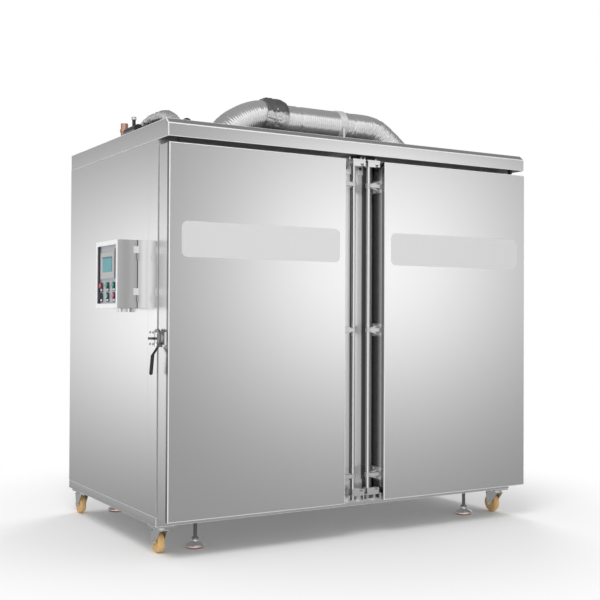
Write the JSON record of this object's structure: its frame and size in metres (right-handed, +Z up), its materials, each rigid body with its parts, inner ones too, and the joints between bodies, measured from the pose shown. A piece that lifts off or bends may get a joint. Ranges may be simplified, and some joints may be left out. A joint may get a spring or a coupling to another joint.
{
  "type": "blast chiller",
  "caption": "Insulated stainless blast chiller cabinet with paired doors hinged on centre rods, side control box, roof exhaust ducts, swivel casters and levelling feet.",
  "frame": {"origin": "on the floor under the middle of the whole machine's bounding box", "axes": "+X to the machine's right seen from the front, +Y towards its back, +Z up; the doors face -Y"},
  "size_m": [2.3826, 1.402, 2.2504],
  "materials": {
    "stainless": "satin",
    "liner": "satin",
    "machined": "polished",
    "zinc": "satin",
    "cast": "satin",
    "black_plastic": "satin",
    "black_metal": "satin",
    "seal": "matte",
    "foam": "matte",
    "copper": "satin",
    "foil": "gloss",
    "nylon": "satin",
    "panel_grey": "satin",
    "motor_grey": "satin",
    "red": "gloss",
    "green": "gloss",
    "pale_green": "gloss",
    "pink": "gloss",
    "control_grey": "satin"
  },
  "bodies": {
    "cabinet": {"base_frame": "stainless", "outer_panels": "stainless", "front_frame": "stainless", "roof_cap": "stainless", "inner_liner": "liner", "insulation": "foam", "fan_baffle": "liner", "fan_motor": "motor_grey", "spray_manifold": "copper", "hinge_supports": "stainless", "latch_strikes": "machined", "control_box_base": "stainless", "control_modules": "control_grey", "roof_spigots": "zinc", "main_duct": "foil", "left_duct": "foil", "side_duct": "foil", "roof_valves": "black_metal"},
    "fan": {"fan_rotor": "zinc"},
    "control_cover": {"control_box_cover": "stainless", "control_panel": "panel_grey"},
    "lock": {"cover_lock": "black_plastic"},
    "stop_button_cap": {"stop_button": "red"},
    "start_button_cap": {"start_button": "green"},
    "reset_button_cap": {"reset_button": "green"},
    "mode_selector_cap": {"mode_selector": "black_plastic"},
    "fan_selector_cap": {"fan_selector": "pale_green"},
    "alarm_button_cap": {"alarm_button": "pink"},
    "left_door": {"left_door_skin": "stainless", "left_door_liner": "liner", "left_door_core": "foam", "left_door_gasket": "seal", "left_hinge_rod": "machined", "left_hinge_brackets": "cast", "left_latch_plate": "machined"},
    "left_lever": {"left_latch_lever": "black_metal"},
    "right_door": {"right_door_skin": "stainless", "right_door_liner": "liner", "right_door_core": "foam", "right_door_gasket": "seal", "right_hinge_rod": "machined", "right_hinge_brackets": "cast", "right_latch_plate": "machined"},
    "right_lever": {"right_latch_lever": "black_metal"},
    "front_left_caster": {"front_left_fork": "zinc"},
    "front_left_roller": {"front_left_wheel": "nylon"},
    "front_left_brake": {"front_left_pedal": "black_metal"},
    "front_left_leveller": {"front_left_foot": "machined"},
    "front_right_caster": {"front_right_fork": "zinc"},
    "front_right_roller": {"front_right_wheel": "nylon"},
    "front_right_brake": {"front_right_pedal": "black_metal"},
    "front_right_leveller": {"front_right_foot": "machined"},
    "rear_left_caster": {"rear_left_fork": "zinc"},
    "rear_left_roller": {"rear_left_wheel": "nylon"},
    "rear_left_brake": {"rear_left_pedal": "black_metal"},
    "rear_left_leveller": {"rear_left_foot": "machined"},
    "rear_right_caster": {"rear_right_fork": "zinc"},
    "rear_right_roller": {"rear_right_wheel": "nylon"},
    "rear_right_brake": {"rear_right_pedal": "black_metal"},
    "rear_right_leveller": {"rear_right_foot": "machined"}
  },
  "joints": [
    {"name": "fan_spin", "type": "hinge", "parent": "cabinet", "child": "fan", "pos_m": [0.05175, 0.477, 1.071], "axis": [0, 1, 0], "continuous": true},
    {"name": "left_door_swing", "type": "hinge", "parent": "cabinet", "child": "left_door", "pos_m": [0.00575, -0.658, 1], "axis": [0, 0, 1], "range_deg": [0, 90]},
    {"name": "left_latch_turn", "type": "hinge", "parent": "left_door", "child": "left_lever", "pos_m": [-1.03825, -0.6154, 0.995], "axis": [1, 0, 0], "range_deg": [0, 100]},
    {"name": "right_door_swing", "type": "hinge", "parent": "cabinet", "child": "right_door", "pos_m": [0.09775, -0.658, 1], "axis": [0, 0, -1], "range_deg": [0, 90]},
    {"name": "right_latch_turn", "type": "hinge", "parent": "right_door", "child": "right_lever", "pos_m": [1.14175, -0.6154, 0.995], "axis": [1, 0, 0], "range_deg": [0, 100]},
    {"name": "cover_swing", "type": "hinge", "parent": "cabinet", "child": "control_cover", "pos_m": [-1.08825, -0.452, 1.164], "axis": [0, 0, 1], "range_deg": [0, 110]},
    {"name": "lock_turn", "type": "hinge", "parent": "control_cover", "child": "lock", "pos_m": [-1.13925, -0.15, 1.23], "axis": [0, 1, 0], "range_deg": [0, 90]},
    {"name": "stop_button_press", "type": "slide", "parent": "control_cover", "child": "stop_button_cap", "axis": [1, 0, 0], "range_m": [0, 0.004], "stiffness_N_per_m": 600, "springref_m": -0.002},
    {"name": "start_button_press", "type": "slide", "parent": "control_cover", "child": "start_button_cap", "axis": [1, 0, 0], "range_m": [0, 0.004], "stiffness_N_per_m": 600, "springref_m": -0.002},
    {"name": "reset_button_press", "type": "slide", "parent": "control_cover", "child": "reset_button_cap", "axis": [1, 0, 0], "range_m": [0, 0.004], "stiffness_N_per_m": 600, "springref_m": -0.002},
    {"name": "mode_selector_turn", "type": "hinge", "parent": "control_cover", "child": "mode_selector_cap", "pos_m": [-1.17825, -0.206, 1.224], "axis": [1, 0, 0], "range_deg": [-45, 45]},
    {"name": "fan_selector_turn", "type": "hinge", "parent": "control_cover", "child": "fan_selector_cap", "pos_m": [-1.17825, -0.293, 1.224], "axis": [1, 0, 0], "range_deg": [-45, 45]},
    {"name": "alarm_button_press", "type": "slide", "parent": "control_cover", "child": "alarm_button_cap", "axis": [1, 0, 0], "range_m": [0, 0.004], "stiffness_N_per_m": 600, "springref_m": -0.002},
    {"name": "front_left_swivel", "type": "hinge", "parent": "cabinet", "child": "front_left_caster", "pos_m": [-0.99125, -0.523, 0.12], "axis": [0, 0, 1], "continuous": true},
    {"name": "front_left_roll", "type": "hinge", "parent": "front_left_caster", "child": "front_left_roller", "pos_m": [-0.99125, -0.485, 0.051], "axis": [1, 0, 0], "continuous": true},
    {"name": "front_left_brake_press", "type": "hinge", "parent": "front_left_caster", "child": "front_left_brake", "pos_m": [-0.99125, -0.467, 0.108], "axis": [-1, 0, 0], "range_deg": [0, 15]},
    {"name": "front_left_foot_screw", "type": "slide", "parent": "cabinet", "child": "front_left_leveller", "axis": [0, 0, -1], "range_m": [0, 0.03]},
    {"name": "front_right_swivel", "type": "hinge", "parent": "cabinet", "child": "front_right_caster", "pos_m": [1.09475, -0.523, 0.12], "axis": [0, 0, 1], "continuous": true},
    {"name": "front_right_roll", "type": "hinge", "parent": "front_right_caster", "child": "front_right_roller", "pos_m": [1.09475, -0.485, 0.051], "axis": [1, 0, 0], "continuous": true},
    {"name": "front_right_brake_press", "type": "hinge", "parent": "front_right_caster", "child": "front_right_brake", "pos_m": [1.09475, -0.467, 0.108], "axis": [-1, 0, 0], "range_deg": [0, 15]},
    {"name": "front_right_foot_screw", "type": "slide", "parent": "cabinet", "child": "front_right_leveller", "axis": [0, 0, -1], "range_m": [0, 0.03]},
    {"name": "rear_left_swivel", "type": "hinge", "parent": "cabinet", "child": "rear_left_caster", "pos_m": [-0.99125, 0.597, 0.12], "axis": [0, 0, 1], "continuous": true},
    {"name": "rear_left_roll", "type": "hinge", "parent": "rear_left_caster", "child": "rear_left_roller", "pos_m": [-0.99125, 0.635, 0.051], "axis": [1, 0, 0], "continuous": true},
    {"name": "rear_left_brake_press", "type": "hinge", "parent": "rear_left_caster", "child": "rear_left_brake", "pos_m": [-0.99125, 0.653, 0.108], "axis": [-1, 0, 0], "range_deg": [0, 15]},
    {"name": "rear_left_foot_screw", "type": "slide", "parent": "cabinet", "child": "rear_left_leveller", "axis": [0, 0, -1], "range_m": [0, 0.03]},
    {"name": "rear_right_swivel", "type": "hinge", "parent": "cabinet", "child": "rear_right_caster", "pos_m": [1.09475, 0.597, 0.12], "axis": [0, 0, 1], "continuous": true},
    {"name": "rear_right_roll", "type": "hinge", "parent": "rear_right_caster", "child": "rear_right_roller", "pos_m": [1.09475, 0.635, 0.051], "axis": [1, 0, 0], "continuous": true},
    {"name": "rear_right_brake_press", "type": "hinge", "parent": "rear_right_caster", "child": "rear_right_brake", "pos_m": [1.09475, 0.653, 0.108], "axis": [-1, 0, 0], "range_deg": [0, 15]},
    {"name": "rear_right_foot_screw", "type": "slide", "parent": "cabinet", "child": "rear_right_leveller", "axis": [0, 0, -1], "range_m": [0, 0.03]}
  ]
}
